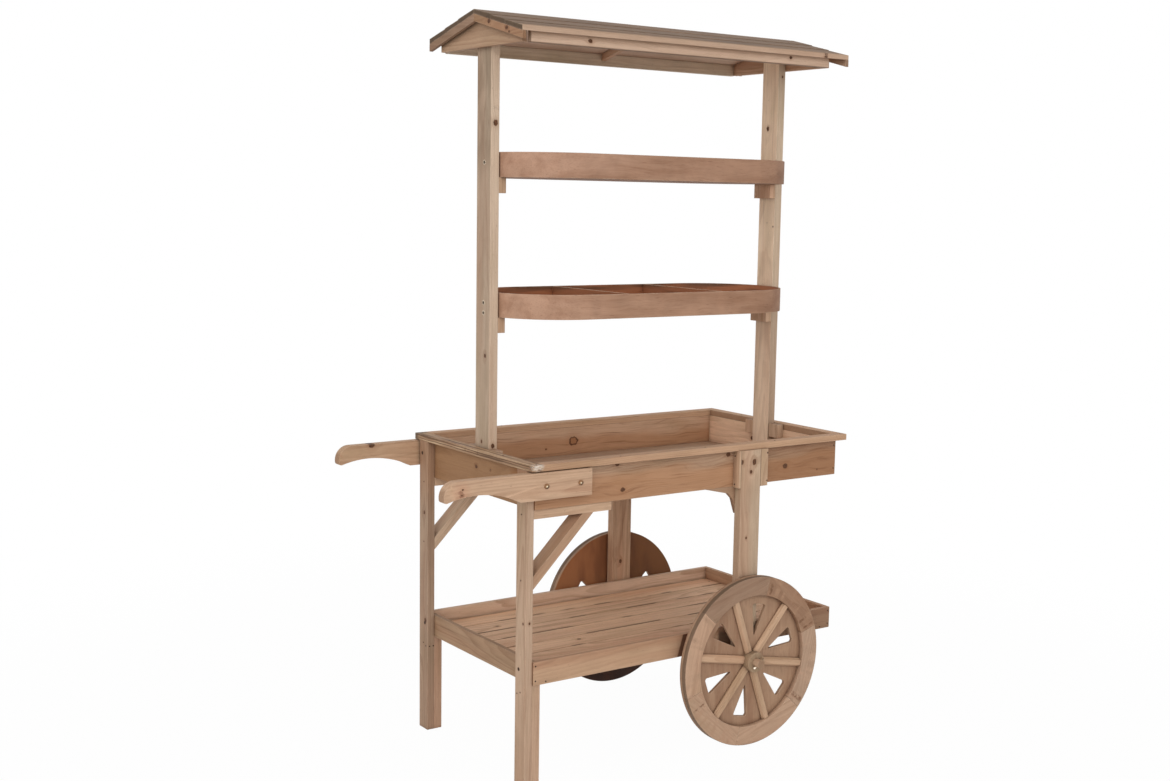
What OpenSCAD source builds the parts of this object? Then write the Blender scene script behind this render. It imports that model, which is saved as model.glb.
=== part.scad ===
// Wooden display cart: a tray on legs with two wheels and two handles, a slatted shelf below,
// two oval shelves between tall posts above, and a small gabled roof.
// Millimetres, Z up, origin on the floor under the middle of the whole outline.
// X runs along the cart from the handles to the wheels, Y from front to back.

/* [Tray] */
// Length of the tray box
box_l = 950; // [860:1:1040]
// Depth of the tray box
box_d = 532; // [460:1:600]
// Height of the rim top
rim_z = 783; // [720:1:840]
// Thickness of the rim strips
rim_t = 16; // [10:1:22]
// Width of the rim strips
rim_w = 30; // [24:1:40]
// Overhang of the rim past the ends of the box
rim_end = 21; // [15:1:28]
// Overhang of the rim past the front and back of the box
rim_side = 19; // [10:1:28]
// Thickness of the boards
board_t = 12; // [8:1:20]
// Height of the tray boards
tray_h = 94; // [60:1:140]
// Floor above the lower edge of the tray boards
floor_up = 12; // [0:1:40]
// Thickness of the thin panels
panel_t = 6; // [3:1:12]

/* [Posts and shelves] */
// Thickness of the heavy sticks
stick_t = 24; // [18:1:30]
// Width of the heavy sticks
stick_w = 64; // [40:1:80]
// Width of the cleats beside the posts
cleat_w = 36; // [20:1:60]
// Height of the cleats beside the posts
cleat_h = 37; // [20:1:60]
// Thickness of the cleats and of the blocks under the bands
cleat_t = 20; // [10:1:30]
// Half depth of the oval shelves
oval_r = 175; // [120:1:200]
// Height of the oval bands
band_h = 60; // [40:1:90]
// Thickness of the bent bands
band_t = 5; // [3:1:9]
// Lower edge of the upper band
upper_z = 1441; // [1300:1:1550]
// Lower edge of the lower band
lower_z = 1104; // [1000:1:1250]
// Height of the blocks under the bands
block_h = 38; // [20:1:60]
// Distance of each divider from the middle
divider_x = 148; // [100:1:200]
// Thickness of the dividers
divider_t = 6; // [4:1:12]

/* [Roof] */
// Roof past the tray box at the handle end
roof_left = 18; // [12:1:60]
// Roof past the tray box at the wheel end
roof_right = 42; // [12:1:80]
// Half depth of the roof
roof_y = 218; // [160:1:280]
// Height of the ridge
ridge_z = 1833; // [1700:1:1950]
// Rise of the roof from the eaves to the ridge
roof_rise = 54; // [30:1:120]
// Lap of one roof board over the next
lap = 1.5; // [0:0.5:6]
// Thickness of the roof boards at their lower edge
roof_t = 12; // [8:1:20]
// Height of the rafters under the boards
rafter_h = 18; // [12:1:30]
// Thickness of the end rafters
rafter_end = 10; // [8:1:12]
// Thickness of the middle rafter
rafter_mid = 14; // [8:1:30]
// Distance of the purlins from the middle
purlin_y = 186; // [120:1:200]
// Thickness of the purlins and of the gable plates
purlin_t = 14; // [8:1:16]
// Height of the purlins
purlin_h = 27; // [15:1:50]

/* [Legs and lower shelf] */
// Thickness of the light sticks
leg_t = 20; // [16:1:30]
// Width of the light sticks
leg_w = 44; // [30:1:60]
// Left legs set in from the sides of the box
leg_in = 5; // [0:1:30]
// Thickness of the blocks inside the left legs
foot_t = 22; // [10:1:40]
// Height of the side rails under the tray
rail_h = 22; // [12:1:40]
// Length of the side rails
rail_l = 221; // [190:1:300]
// Reach of the braces down and along
brace = 168; // [120:1:220]
// Width of the braces measured along the rail
brace_w = 31; // [20:1:50]
// Width of the cleats beside the right legs
side_cleat = 23; // [12:1:40]
// Width of the thin cleats on the handle side of the right legs
thin_cleat = 6; // [4:1:30]
// Length of the knee plates
knee_l = 128; // [90:1:160]
// Height of the knee plates
knee_h = 72; // [50:1:100]
// Lower edge of the shelf frame
shelf_z = 251; // [150:1:400]
// Height of the shelf frame boards
shelf_h = 57; // [30:1:90]
// Number of slats
slats = 7; // [5:1:9]
// Gap between slats
slat_gap = 4; // [2:0.5:10]
// Thickness of the slats
slat_t = 12; // [6:1:18]
// Slat underside above the lower edge of the frame
slat_up = 12; // [5:1:25]

/* [Wheels and handles] */
// Axle position along the cart
axle_x = 160; // [100:1:220]
// Radius of the wheels
wheel_r = 221; // [180:1:260]
// Width of the wheel ring
ring_w = 49; // [30:1:60]
// Distance from each wheel to its leg
wheel_gap = 7; // [3:1:20]
// Thickness of the wheel disc
disc_t = 9; // [5:1:15]
// Thickness of the wheel ring
ring_t = 14; // [8:1:20]
// Thickness of the wheel hub
hub_t = 26; // [18:1:40]
// Width of the spokes
spoke_w = 22; // [14:1:26]
// Radius of the axle
axle_r = 11; // [8:0.5:16]
// Wall of the washers
washer_w = 13; // [8:1:20]
// Radius of the pins through the axle
pin_r = 3; // [2:0.5:4]
// Length of the pins through the axle
pin_l = 38; // [30:1:60]
// Turn of the front wheel at rest, degrees
wheel_turn = -11; // [-30:1:30]
// Turn of the back wheel at rest, degrees
back_turn = 0; // [-30:1:30]
// Height of the handle boards
handle_h = 64; // [54:1:80]
// Height of the handles at their narrowest
neck_h = 35.5; // [28:0.5:44]
// Radius of the hollow under the handles
neck_r = 255; // [180:1:320]
// Radius of the round tops of the handle tips
tip_r = 36; // [24:1:44]
// Radius of the noses under the handle tips
nose_r = 7; // [4:0.5:9]
// Tip of the handles past the tray box
handle_out = 255; // [200:1:320]
// Handle boards along the tray box
handle_in = 143; // [130:1:200]
// Back handle set in along the cart
back_set = 9; // [0:1:20]
// Distance of the first bolt from the end of the box
bolt_in = 15; // [12:1:30]
// Distance between the bolts of a handle
bolt_step = 95; // [60:1:105]

/* [Hidden] */
$fn = 96;
fir = [0.72, 0.56, 0.42];
pale = [0.78, 0.62, 0.48];
red = [0.66, 0.45, 0.33];
dark = [0.45, 0.32, 0.24];
steel = [0.5, 0.48, 0.45];
bx = box_l / 2;
by = box_d / 2;
rx = bx + rim_end;
ry = by + rim_side;
top_z = rim_z - rim_t;
low_z = top_z - tray_h;
floor_z = low_z + floor_up;
in_x = bx - board_t;
in_y = by - board_t;
out_y = by + stick_t;
leg_y = by - leg_in;
leg_x0 = axle_x - stick_w / 2;
leg_x1 = axle_x + stick_w / 2;
post_x = in_x - stick_t;
roof_x0 = -bx - roof_left;
roof_x1 = bx + roof_right;
slack = 0.1;
joint = 0.3;
under_0 = ridge_z - (roof_t - lap);
under_1 = ridge_z - roof_rise - roof_t;
slope = (under_0 - under_1) / roof_y;
purlin_y1 = purlin_y + purlin_t;
purlin_z = under(purlin_y1) - purlin_h;
axle_z = wheel_r;
ring_r = wheel_r - ring_w;
disc_y = out_y + wheel_gap;
ring_y = disc_y + disc_t;
face_y = ring_y + ring_t;
hub_y = ring_y + hub_t;
hub_r = axle_r + 15;
pin_y = hub_y + 9;
axle_y = hub_y + 20;
window_in = 68;
window_out = ring_r - 25;
tip_x = -bx - handle_out;
handle_z = top_z - 2;
mid_rafter = 6;
mid_x = -(tip_x + roof_x1) / 2;

// height of the underside of the roof boards, less a little slack, at a distance from the middle
function under(y) = under_0 - slope * y - slack;

// moves the cart from its own middle to the middle of everything, handles and roof included
module placed() translate([mid_x, 0, 0]) children();

// box between two corners
module slab(x0, x1, y0, y1, z0, z1)
  translate([x0, y0, z0]) cube([x1 - x0, y1 - y0, z1 - z0]);

// the same thing at the front and, mirrored, at the back
module both() {
  children();
  mirror([0, 1, 0]) children();
}

// outline in X and Z, drawn at the front between two depths
module front_plate(y0, y1, pts)
  translate([0, -y0, 0]) rotate([90, 0, 0]) linear_extrude(y1 - y0) polygon(pts);

// outline in Y and Z, drawn along X
module across(x0, x1, pts)
  translate([x0, 0, 0]) rotate([90, 0, 90]) linear_extrude(x1 - x0) polygon(pts);

// flat-sided shape with round ends
module stadium(half_l, r, h) {
  translate([-(half_l - r), -r, 0]) cube([2 * (half_l - r), 2 * r, h]);
  for (s = [-1, 1])
    translate([s * (half_l - r), 0, 0]) cylinder(r = r, h = h);
}

module tray_side() slab(-bx, bx, -by, -in_y, low_z, top_z);

module tray_front_board() color(fir) placed() tray_side();

module tray_back_board() color(fir) placed() mirror([0, 1, 0]) tray_side();

module tray_end_boards() color(fir) placed()
  for (s = [-1, 1])
    slab(min(s * in_x, s * bx), max(s * in_x, s * bx), -in_y, in_y, low_z, top_z);

module tray_floor() color(pale) placed() slab(-in_x, in_x, -in_y, in_y, floor_z, floor_z + panel_t);

module rim_strips() color(pale) placed() {
  both() slab(-rx, rx, -ry, rim_w - ry, top_z, rim_z);
  for (s = [-1, 1])
    slab(min(s * (rx - rim_w), s * rx), max(s * (rx - rim_w), s * rx),
      rim_w - ry + joint, ry - rim_w - joint, top_z, rim_z);
}

// tall stick standing on the tray floor against an end board
module post(s)
  slab(min(s * post_x, s * in_x), max(s * post_x, s * in_x), -stick_w / 2, stick_w / 2,
    floor_z + panel_t, under(stick_w / 2));

module left_post() color(fir) placed() post(-1);

module right_post() color(fir) placed() post(1);

module post_cleats() color(pale) placed()
  both()
    for (s = [-1, 1])
      slab(min(s * (in_x - cleat_t), s * in_x), max(s * (in_x - cleat_t), s * in_x),
        -stick_w / 2 - cleat_w, -stick_w / 2, rim_z - 1 - cleat_h, rim_z - 1);

// bent band of an oval shelf
module band(z)
  translate([0, 0, z]) difference() {
    stadium(post_x, oval_r, band_h);
    translate([0, 0, -1]) stadium(post_x - band_t, oval_r - band_t, band_h + 2);
  }

module upper_band() color(red) placed() band(upper_z);

module lower_band() color(red) placed() band(lower_z);

module oval_floors() color(red) placed()
  for (z = [upper_z, lower_z])
    translate([0, 0, z]) stadium(post_x - band_t, oval_r - band_t, panel_t);

module shelf_dividers() color(pale) placed()
  for (s = [-1, 1])
    slab(s * divider_x - divider_t / 2, s * divider_x + divider_t / 2, band_t - oval_r, oval_r - band_t,
      lower_z + panel_t, lower_z + band_h);

module shelf_blocks() color(fir) placed()
  for (z = [upper_z, lower_z], s = [-1, 1])
    slab(min(s * post_x, s * (post_x - cleat_t)), max(s * post_x, s * (post_x - cleat_t)),
      -stick_w / 2, stick_w / 2, z - block_h, z);

// three lapped boards from the ridge down to the front eave
module roof_slope()
  for (k = [0:2]) {
    y0 = [joint, 0.35, 0.65][k] * [1, roof_y, roof_y][k];
    y1 = [0.35, 0.65, 1][k] * roof_y - joint;
    across(roof_x0, roof_x1, [
      [-y0, under_0 - slope * y0], [-y1, under_0 - slope * y1],
      [-y1, under_0 - slope * y1 + roof_t], [-y0, under_0 - slope * y0 + roof_t - lap]]);
  }

module roof_front_boards() color(fir) placed() roof_slope();

module roof_back_boards() color(fir) placed() mirror([0, 1, 0]) roof_slope();

// sloping strips under the roof boards: at both ends and, shorter, in the middle
module roof_rafters() color(fir) placed()
  for (k = [0:2]) {
    x = [roof_x0, mid_rafter, roof_x1 - rafter_end][k];
    y = [roof_y, purlin_y - joint, roof_y][k];
    both() across(x, x + [rafter_end, rafter_mid, rafter_end][k], [
      [-joint, under(joint)], [-y, under(y)], [-y, under(y) - rafter_h],
      [-joint, under(joint) - rafter_h]]);
  }

// triangular plate on the outer face of a post
module gable(x0)
  across(x0, x0 + purlin_t - 1, [
    [-purlin_y - 2, purlin_z + 1], [purlin_y + 2, purlin_z + 1], [purlin_y + 2, under(purlin_y + 2)],
    [0, under(0)], [-purlin_y - 2, under(purlin_y + 2)]]);

module left_gable() color(pale) placed() gable(-in_x - purlin_t + 1);

module right_gable() color(pale) placed() gable(in_x);

module roof_purlins() color(pale) placed()
  both()
    across(5 - in_x, in_x - joint, [
      [-purlin_y1, purlin_z], [-purlin_y, purlin_z], [-purlin_y, under(purlin_y)],
      [-purlin_y1, under(purlin_y1)]]);

// handle board bolted to the tray, hollowed below, with a rounded tip
module handle() {
  a = [tip_x + tip_r, handle_z - tip_r];
  b = [tip_x + 84, handle_z - neck_h - neck_r];
  c = meet(a, tip_r - nose_r + 0.08, b, neck_r + nose_r - 0.08);
  p = a + (c - a) / norm(c - a) * tip_r;
  q = b + (c - b) / norm(c - b) * neck_r;
  difference() {
    union() {
      slab(a[0], handle_in - bx, -out_y, -by, handle_z - handle_h, handle_z);
      translate([a[0], -by, a[1]]) rotate([90, 0, 0]) cylinder(r = tip_r, h = stick_t);
    }
    translate([b[0], 1 - by, b[1]])
      rotate([90, 0, 0]) cylinder(r = neck_r, h = stick_t + 2, $fn = 240);
    translate([p[0], 0, p[1]]) rotate([0, -atan2(q[1] - p[1], q[0] - p[0]), 0])
      slab(-3, norm(q - p) + 3, -out_y - 1, 1 - by, -nose_r, 0);
  }
  translate([c[0], -by, c[1]]) rotate([90, 0, 0]) cylinder(r = nose_r, h = stick_t);
}

module front_handle() color(fir) placed() handle();

module back_handle() color(fir) placed() translate([back_set, 0, 0]) mirror([0, 1, 0]) handle();

module handle_bolts() color(steel) placed()
  for (s = [-1, 1], x = [bolt_in, bolt_in + bolt_step])
    translate([x - bx + (s > 0 ? back_set : 0), s * (out_y + 1.5), handle_z - handle_h / 2])
      rotate([90, 0, 0]) cylinder(r = 6, h = 3, center = true);

module left_leg() slab(-bx - leg_t, -bx, -leg_y, leg_w - leg_y, 0, top_z);

module front_left_leg() color(fir) placed() left_leg();

module back_left_leg() color(fir) placed() mirror([0, 1, 0]) left_leg();

module leg_blocks() color(fir) placed()
  both() slab(-bx, foot_t - bx, -leg_y, leg_w - leg_y, 0, shelf_z);

module side_rails() color(fir) placed()
  both() slab(-bx, rail_l - bx, -leg_y, leg_w - leg_y, low_z - rail_h, low_z);

module leg_braces() color(fir) placed() {
  z = low_z - rail_h;
  both() front_plate(leg_y - leg_w, leg_y, [
    [-bx, z - brace + brace_w], [-bx, z - brace], [brace - bx, z], [brace - brace_w - bx, z]]);
}

// heavy leg on the outside of the tray and shelf boards, carrying the axle
module right_leg()
  difference() {
    slab(leg_x0, leg_x1, -out_y, -by, axle_z - 34, top_z);
    translate([axle_x, 0, axle_z]) rotate([90, 0, 0]) cylinder(r = axle_r, h = out_y + 2);
  }

module front_right_leg() color(fir) placed() right_leg();

module back_right_leg() color(fir) placed() mirror([0, 1, 0]) right_leg();

module leg_cleats() color(pale) placed()
  both() {
    slab(leg_x0 - 1 - thin_cleat, leg_x0 - 1, -out_y, -by, low_z - 2, top_z);
    slab(leg_x1 + 1, leg_x1 + 1 + side_cleat, -out_y, -by, low_z - 2, top_z);
  }

module knee_plates() color(dark) placed()
  both() translate([axle_x, 0, low_z]) front_plate(in_y, by, [
    [-knee_l, 0], [-0.7 * knee_l, -knee_h / 8], [-0.42 * knee_l, -0.24 * knee_h],
    [-0.31 * knee_l, -0.43 * knee_h], [-0.2 * knee_l, -knee_h], [10, -knee_h], [10, 0]]);

module shelf_side() slab(-bx, bx, -by, -in_y, shelf_z, shelf_z + shelf_h);

module shelf_front_board() color(fir) placed() shelf_side();

module shelf_back_board() color(fir) placed() mirror([0, 1, 0]) shelf_side();

module shelf_end_boards() color(fir) placed()
  for (s = [-1, 1])
    slab(min(s * in_x, s * bx), max(s * in_x, s * bx), -in_y, in_y, shelf_z, shelf_z + shelf_h);

module shelf_slats() color(pale) placed() {
  pitch = 2 * in_y / slats;
  for (k = [0:slats - 1])
    slab(-in_x, in_x, -in_y + k * pitch + slat_gap / 2, -in_y + (k + 1) * pitch - slat_gap / 2,
      shelf_z + slat_up, shelf_z + slat_up + slat_t);
}

module shelf_battens() color(fir) placed()
  for (x = [-in_x, -15, in_x - 30])
    slab(x, x + 30, -in_y, in_y, shelf_z, shelf_z + slat_up);

module axle() color(pale) placed()
  translate([axle_x, 0, axle_z]) rotate([90, 0, 0])
    difference() {
      cylinder(r = axle_r, h = 2 * axle_y, center = true);
      for (s = [-1, 1])
        translate([0, 0, s * pin_y]) rotate([0, 90, 40]) cylinder(r = pin_r, h = pin_l + 2, center = true);
    }

module axle_washers() color(pale) placed()
  both() translate([axle_x, -out_y, axle_z]) rotate([90, 0, 0])
    difference() {
      cylinder(r = axle_r + washer_w, h = wheel_gap - 2);
      translate([0, 0, -1]) cylinder(r = axle_r, h = wheel_gap);
    }

module axle_pins() color(steel) placed()
  both() translate([axle_x, 0, axle_z]) rotate([90, 0, 0])
    translate([0, 0, pin_y]) rotate([0, 90, 40]) cylinder(r = pin_r, h = pin_l, center = true);

// wheel parts lie on the axle line: local z is the distance from the middle of the cart
module on_axle(turn)
  translate([axle_x, 0, axle_z]) rotate([90, 0, 0]) rotate(turn) children();

// the two ends of the line that touches two round corners on their outer side
function touch(a, ra, b, rb) =
  let (u = (b - a) / norm(b - a), c = (ra - rb) / norm(b - a), q = sqrt(1 - c * c),
    n = [c * u[0] + q * u[1], c * u[1] - q * u[0]])
  [a + ra * n, b + rb * n];

// middle of a round corner at given distances from two other middles, left of the line between them
function meet(a, ra, b, rb) =
  let (d = norm(b - a), u = (b - a) / d, t = (ra * ra - rb * rb + d * d) / (2 * d))
  a + t * u + sqrt(ra * ra - t * t) * [u[1], -u[0]];

// one of the window openings: a narrow three-cornered hole, tip to the hub, with round corners
// the flat sides meet the round corners a hair inside their tangents
module window(z0, h) {
  c = [[window_in, 0], [window_out - 6, -15.5], [window_out - 6, 15.5]];
  r = [1.5, 6, 6];
  pts = [for (k = [0:2]) let (m = (k + 1) % 3) each touch(c[k], r[k] - 0.08, c[m], r[m] - 0.08)];
  translate([0, 0, z0]) {
    linear_extrude(h) polygon(pts);
    for (k = [0:2])
      translate([c[k][0], c[k][1], 0]) rotate(k > 0 ? 180 : 0) cylinder(r = r[k], h = h);
  }
}

module wheel_disc(turn)
  on_axle(turn) difference() {
    translate([0, 0, disc_y]) cylinder(r = wheel_r, h = ring_y - disc_y, $fn = 180);
    translate([0, 0, disc_y - 1]) cylinder(r = axle_r + 0.05, h = 30);
    for (k = [0:5]) rotate(30 + 60 * k) window(disc_y - 1, disc_t + 2);
  }

module wheel_ring(turn)
  on_axle(turn) difference() {
    translate([0, 0, ring_y]) cylinder(r = wheel_r, h = face_y - ring_y, $fn = 180);
    translate([0, 0, ring_y - 1]) cylinder(r = ring_r, h = 30, $fn = 180);
    for (k = [0:5]) rotate(28 + 60 * k)
      translate([100, -0.2, ring_y - 1]) cube([200, 0.4, 30]);
  }

module wheel_spokes(turn) {
  w = spoke_w / 2;
  on_axle(turn) intersection() {
    difference() {
      for (k = [0:5]) rotate(60 * k)
        rotate([90, 0, 90]) linear_extrude(wheel_r) polygon([
          [-w, ring_y], [w, ring_y], [w, ring_y + 4], [w - 5, face_y - 3], [5 - w, face_y - 3],
          [-w, ring_y + 4]]);
      translate([0, 0, ring_y - 1]) cylinder(r = hub_r + slack, h = 30);
    }
    translate([0, 0, ring_y - 1]) cylinder(r = ring_r - slack, h = 30, $fn = 180);
  }
}

module wheel_hub(turn)
  on_axle(turn) difference() {
    translate([0, 0, ring_y]) cylinder(r = hub_r, h = hub_y - ring_y);
    translate([0, 0, ring_y - 1]) cylinder(r = axle_r + 0.05, h = 40);
  }

module front_wheel_disc() color(red) placed() wheel_disc(wheel_turn);

module front_wheel_ring() color(fir) placed() wheel_ring(wheel_turn);

module front_wheel_spokes() color(fir) placed() wheel_spokes(wheel_turn);

module front_wheel_hub() color(fir) placed() wheel_hub(wheel_turn);

module back_wheel_disc() color(red) placed() mirror([0, 1, 0]) wheel_disc(back_turn);

module back_wheel_ring() color(fir) placed() mirror([0, 1, 0]) wheel_ring(back_turn);

module back_wheel_spokes() color(fir) placed() mirror([0, 1, 0]) wheel_spokes(back_turn);

module back_wheel_hub() color(fir) placed() mirror([0, 1, 0]) wheel_hub(back_turn);

tray_front_board();
tray_back_board();
tray_end_boards();
tray_floor();
rim_strips();
left_post();
right_post();
post_cleats();
upper_band();
lower_band();
oval_floors();
shelf_dividers();
shelf_blocks();
roof_front_boards();
roof_back_boards();
roof_rafters();
left_gable();
right_gable();
roof_purlins();
front_handle();
back_handle();
handle_bolts();
front_left_leg();
back_left_leg();
leg_blocks();
side_rails();
leg_braces();
front_right_leg();
back_right_leg();
leg_cleats();
knee_plates();
shelf_front_board();
shelf_back_board();
shelf_end_boards();
shelf_slats();
shelf_battens();
axle();
axle_washers();
axle_pins();
front_wheel_disc();
front_wheel_ring();
front_wheel_spokes();
front_wheel_hub();
back_wheel_disc();
back_wheel_ring();
back_wheel_spokes();
back_wheel_hub();
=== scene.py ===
"""Wooden display cart: wood finishes, knots, screws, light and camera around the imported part."""

import math

import bmesh
import bpy
from mathutils import Matrix, Vector


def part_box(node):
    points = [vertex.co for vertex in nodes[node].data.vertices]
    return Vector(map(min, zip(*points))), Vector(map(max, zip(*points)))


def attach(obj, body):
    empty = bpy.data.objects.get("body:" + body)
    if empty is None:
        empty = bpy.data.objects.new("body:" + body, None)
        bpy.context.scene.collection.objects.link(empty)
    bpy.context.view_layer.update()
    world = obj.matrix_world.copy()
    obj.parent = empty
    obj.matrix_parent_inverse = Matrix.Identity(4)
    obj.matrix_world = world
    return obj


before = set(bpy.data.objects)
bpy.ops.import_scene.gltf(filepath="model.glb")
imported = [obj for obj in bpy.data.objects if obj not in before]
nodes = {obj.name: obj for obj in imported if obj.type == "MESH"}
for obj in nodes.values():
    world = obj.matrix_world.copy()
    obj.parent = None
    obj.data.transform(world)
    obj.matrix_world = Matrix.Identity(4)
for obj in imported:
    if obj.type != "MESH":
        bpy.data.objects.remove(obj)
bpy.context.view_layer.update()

X = Vector((1, 0, 0))
Y = Vector((0, 1, 0))
Z = Vector((0, 0, 1))

# ---------------------------------------------------------------- places taken from the frame

rim_lo, rim_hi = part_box("rim_strips")
mid_x = (rim_lo[0] + rim_hi[0]) / 2
axle_lo, axle_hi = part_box("axle")
wheel_x = (axle_lo[0] + axle_hi[0]) / 2
wheel_z = (axle_lo[2] + axle_hi[2]) / 2
leg_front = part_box("front_left_leg")[0][1]
post_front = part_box("left_post")[0][1]
post_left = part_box("right_post")[0][0]
disc_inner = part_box("back_wheel_disc")[0][1]
purlin_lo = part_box("roof_purlins")[0][2]
eave_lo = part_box("roof_front_boards")[0][2]

SLATS = 7
SLAT_GAP = 0.004
slat_lo, slat_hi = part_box("shelf_slats")
slat_step = (slat_hi[1] - slat_lo[1] + SLAT_GAP) / SLATS

# Turn of each wheel at rest, in degrees
WHEEL_TURNS = {"front": -11, "back": 0}


def at(x, y, z):
    """A point given in millimetres: along and across from the rim's middle, and up from the floor."""
    return Vector((mid_x + x / 1000, y / 1000, z / 1000))


def ends(node, axis):
    """Where a node starts and ends along x, y or z, in the millimetres that at() takes."""
    i = "xyz".index(axis)
    middle = mid_x if axis == "x" else 0
    return [round((corner[i] - middle) * 1000, 1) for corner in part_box(node)]


# Left and right faces, and upper ones
leg_x = ends("front_left_leg", "x")[0]
tray_x = ends("tray_end_boards", "x")[0]
tray_inner_x = ends("tray_floor", "x")[1]
rafter_x = ends("roof_rafters", "x")[0]
left_post_x = ends("left_post", "x")[0]
right_post_x, right_post_end = ends("right_post", "x")
rim_top = ends("rim_strips", "z")[1]
slat_top = ends("shelf_slats", "z")[1]
# Faces to the front and back; those of boards, legs and sticks are at the back, and mirrored in front
board_in, board_out = ends("tray_back_board", "y")
leg_in, leg_out = ends("back_left_leg", "y")
stick_in, stick_out = ends("back_right_leg", "y")
post_y = ends("left_post", "y")[0]
purlin_y = ends("roof_purlins", "y")[0]


def srgb(r, g, b):
    """A colour written as 0 to 255, as the linear numbers that a shader takes."""
    out = []
    for v in (r, g, b):
        v /= 255
        out.append(v / 12.92 if v <= 0.04045 else ((v + 0.055) / 1.055) ** 2.4)
    return (*out, 1)


# ---------------------------------------------------------------- node helpers


class Net:
    """Adds nodes to a tree; numbers, vectors and colours may be given in place of sockets."""

    def __init__(self, tree):
        self.tree = tree

    def put(self, socket, value):
        if value is None:
            return
        if isinstance(value, bpy.types.NodeSocket):
            self.tree.links.new(value, socket)
        elif isinstance(value, (tuple, list, Vector)):
            socket.default_value = tuple(value)
        else:
            socket.default_value = value

    def node(self, kind, values=(), **props):
        made = self.tree.nodes.new(kind)
        for key, value in props.items():
            setattr(made, key, value)
        for key, value in dict(values).items():
            self.put(made.inputs[key], value)
        return made

    def math(self, op, a, b=None):
        return self.node("ShaderNodeMath", {0: a, 1: b}, operation=op).outputs[0]

    def times(self, first, *others):
        for other in others:
            first = self.math("MULTIPLY", first, other)
        return first

    def plus(self, first, *others):
        for other in others:
            first = self.math("ADD", first, other)
        return first

    def minus(self, a, b):
        return self.math("SUBTRACT", a, b)

    def apart(self, a, b=0.0):
        """The distance between two numbers, or from zero."""
        return self.math("ABSOLUTE", self.minus(a, b))

    def swing(self, noise, reach):
        """A noise of 0 to 1 as a swing to both sides of zero."""
        return self.times(self.minus(noise, 0.5), reach)

    def smooth(self, value, start, stop, low=0.0, high=1.0):
        """A soft step from low at start to high at stop."""
        made = self.node("ShaderNodeMapRange", {0: value, 1: start, 2: stop, 3: low, 4: high})
        made.interpolation_type = "SMOOTHSTEP"
        return made.outputs[0]

    def vec(self, op, a, b=None, scale=None):
        made = self.node("ShaderNodeVectorMath", {0: a, 1: b}, operation=op)
        if scale is not None:
            self.put(made.inputs["Scale"], scale)
        return made.outputs["Value" if op in ("DOT_PRODUCT", "LENGTH") else 0]

    def dot(self, a, b):
        return self.vec("DOT_PRODUCT", a, b)

    def length(self, v):
        return self.vec("LENGTH", v)

    def reach(self, place, spot, stretch=(1, 1, 1)):
        """How far a place is from a spot, with each direction stretched."""
        return self.length(self.vec("MULTIPLY", self.vec("SUBTRACT", place, spot), stretch))

    def xyz(self, x, y, z):
        return self.node("ShaderNodeCombineXYZ", {0: x, 1: y, 2: z}).outputs[0]

    def split(self, v):
        return self.node("ShaderNodeSeparateXYZ", {0: v}).outputs[:3]

    def place(self):
        return self.node("ShaderNodeTexCoord").outputs["Object"]

    def facing(self):
        return self.node("ShaderNodeNewGeometry").outputs["True Normal"]

    def centre(self):
        """The middle of the solid, which piece_group() stores."""
        return self.node("ShaderNodeAttribute", attribute_name="centre").outputs["Vector"]

    def noise(self, place, by, detail=2.0, rough=0.5, color=False):
        """A noise of 0 to 1 whose waves get shorter as the number, or the three numbers, grow."""
        by = by if isinstance(by, tuple) else (by, by, by)
        made = self.node("ShaderNodeTexNoise", {
            "Vector": self.vec("MULTIPLY", place, by), "Scale": 1.0, "Detail": detail, "Roughness": rough,
        })
        return made.outputs["Color" if color else 0]

    def mix(self, part, a, b, mode="MIX"):
        return self.node(
            "ShaderNodeMix", {0: part, 6: a, 7: b}, data_type="RGBA", blend_type=mode,
        ).outputs[2]

    def tinted(self, color, by, part=1.0):
        """The colour multiplied by another one, as far as part says."""
        by = (*by, 1) if isinstance(by, tuple) else by
        return self.mix(part, color, by, mode="MULTIPLY")


def new_material(name):
    """A material, its net and the inputs of its shader."""
    mat = bpy.data.materials.new(name)
    mat.use_nodes = True
    return mat, Net(mat.node_tree), mat.node_tree.nodes["Principled BSDF"].inputs


# ---------------------------------------------------------------- fir

# Width of a year's ring, and how deep the pith lies beside a board
RING_WIDTH = 0.0052
PITH = 0.06
# Small knots: cells to the metre along and across the grain, the least radius, and what chance adds to it
CELLS_ALONG = 3.4
CELLS_ACROSS = 16.0
SMALL_KNOT = 0.0018
KNOT_SPREAD = 0.0042
# What the grain takes in, with what it uses where nothing is given
GRAIN_INPUTS = {
    "Seed": 0.0, "Push": 0.0, "Core": 0.0, "Halo": 0.0, "Contrast": 1.0, "Knotty": 0.25, "End": 0.0,
}
GRAIN_OUTPUTS = {
    "Color": "Color", "Roughness": "Float", "Height": "Float", "Knot": "Float", "Knot color": "Color",
}


def knot_fields(g, there, reach, push, core):
    """How far a knot pushes the rings aside, its core and its halo; reach is 1 at its edge."""
    fall = g.math("EXPONENT", g.times(reach, reach, -0.16))
    return (
        g.times(there, fall, push),
        g.times(there, g.smooth(reach, 1.2, 0.6, 0.0, core)),
        g.times(there, g.smooth(reach, 2.8, 0.9)),
    )


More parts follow.
